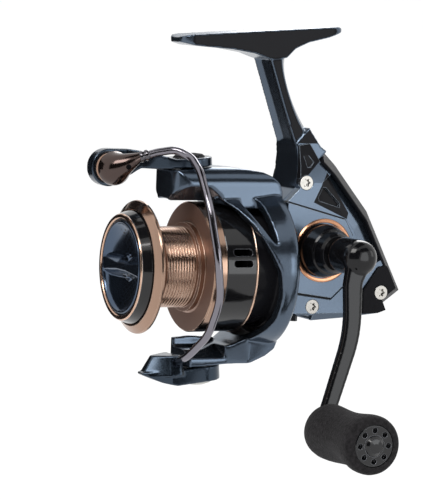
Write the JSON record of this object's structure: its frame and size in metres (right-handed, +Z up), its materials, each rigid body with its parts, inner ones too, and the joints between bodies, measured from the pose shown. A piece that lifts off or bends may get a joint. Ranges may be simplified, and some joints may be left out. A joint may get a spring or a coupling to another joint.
{
  "type": "spinning fishing reel",
  "caption": "Open-face spinning reel with a foot on a stem, geared rotor with bail and line roller, oscillating spool, drag knob and a cranked handle with a foam grip.",
  "frame": {"origin": "middle of the flat strip along the top of the foot, where the rod's reel seat rests", "axes": "+X towards the handle, +Y rearwards along the main shaft, +Z up from the spool towards the rod"},
  "size_m": [0.1126, 0.1166, 0.1451],
  "materials": {
    "blue_paint": "gloss metallic steel blue",
    "black_paint": "gloss black",
    "black_metal": "gloss black",
    "rose_gold": "bright anodised rose gold",
    "bronze": "dark bronze gloss",
    "copper": "polished copper colour",
    "steel": "bare",
    "silver": "bright",
    "gunmetal": "smoked polished",
    "brass_gear": "machined",
    "alloy": "cast",
    "foam": "matt closed-cell foam",
    "dark_plastic": "matt black",
    "felt": "oiled felt",
    "lead": "bare"
  },
  "bodies": {
    "frame": {"body_housing": "blue_paint", "side_cover": "blue_paint", "rear_cover": "black_paint", "cover_screws": "silver", "crank_ring": "copper", "crank_bearings": "steel", "axle_cap": "black_paint", "pinion_bearing": "steel", "anti_reverse_clutch": "steel", "clutch_retainer": "steel", "retainer_screws": "steel", "pinion_bushing": "brass_gear", "guide_rod": "steel", "oscillation_axle": "steel", "brake_ring": "dark_plastic"},
    "crank": {"drive_gear": "alloy", "crank_shaft": "steel", "oscillation_pinion": "alloy", "crank_collar": "black_metal", "handle_arm": "black_metal", "grip_axle": "steel", "grip_axle_screw": "steel"},
    "grip": {"grip_foam": "foam", "grip_sleeve": "dark_plastic", "grip_bearings": "steel", "grip_cap": "black_paint"},
    "rotor_group": {"rotor": "blue_paint", "pinion_gear": "brass_gear", "rotor_nut": "brass_gear", "rotor_lock_screw": "steel", "bail_pivot_screws": "silver", "balance_weight": "lead", "bail_spring": "steel"},
    "bail": {"bail_arm": "blue_paint", "bail_wire": "gunmetal", "roller_cone": "bronze", "bail_lever": "black_paint", "roller_screw": "steel"},
    "roller": {"line_roller": "rose_gold", "roller_bearing": "steel"},
    "shaft": {"main_shaft": "steel", "oscillation_slider": "alloy", "slider_screw": "steel", "spool_seat": "brass_gear", "drag_key_washers": "steel"},
    "spool_group": {"spool": "rose_gold", "spool_skirt": "black_paint", "skirt_ring": "rose_gold", "click_gear": "dark_plastic", "drag_washers": "felt", "drag_retaining_ring": "steel"},
    "drag": {"drag_knob": "black_paint", "knob_rim": "rose_gold", "knob_dish": "blue_paint", "knob_nut": "brass_gear", "knob_spring": "steel"},
    "oscillation": {"oscillation_gear": "dark_plastic"},
    "lever": {"anti_reverse_lever": "dark_plastic"}
  },
  "joints": [
    {"name": "crank_spin", "type": "hinge", "parent": "frame", "child": "crank", "pos_m": [0, 0.0229, -0.0748], "axis": [1, 0, 0], "continuous": true},
    {"name": "rotor_spin", "type": "hinge", "parent": "frame", "child": "rotor_group", "pos_m": [0, -0.0425, -0.0814], "axis": [0, 1, 0], "continuous": true},
    {"name": "oscillation_spin", "type": "hinge", "parent": "frame", "child": "oscillation", "pos_m": [0, 0.03346, -0.0814], "axis": [1, 0, 0], "continuous": true},
    {"name": "spool_stroke", "type": "slide", "parent": "frame", "child": "shaft", "axis": [0, 1, 0], "range_m": [-0.001, 0.008]},
    {"name": "spool_spin", "type": "hinge", "parent": "shaft", "child": "spool_group", "pos_m": [0, -0.0425, -0.0814], "axis": [0, 1, 0], "continuous": true},
    {"name": "drag_turn", "type": "hinge", "parent": "shaft", "child": "drag", "pos_m": [0, -0.0425, -0.0814], "axis": [0, 1, 0], "range_deg": [-360, 360]},
    {"name": "bail_flip", "type": "hinge", "parent": "rotor_group", "child": "bail", "pos_m": [0, -0.0212, -0.0814], "axis": [0, -0.0793, 0.9968], "range_deg": [-110, 0]},
    {"name": "line_roller_spin", "type": "hinge", "parent": "bail", "child": "roller", "pos_m": [-0.0019, -0.052, -0.0476], "axis": [1, 0, 0], "continuous": true},
    {"name": "grip_spin", "type": "hinge", "parent": "crank", "child": "grip", "pos_m": [0.06, 0.0082, -0.13225], "axis": [1, 0, 0], "continuous": true},
    {"name": "anti_reverse_flip", "type": "hinge", "parent": "frame", "child": "lever", "pos_m": [0.004, 0.0135, -0.0984], "axis": [0, 0, 1], "range_deg": [0, 25]}
  ],
  "couplings": [
    {"joint": "rotor_spin", "follows": "crank_spin", "ratio": 5},
    {"joint": "oscillation_spin", "follows": "crank_spin", "ratio": -0.46154}
  ]
}
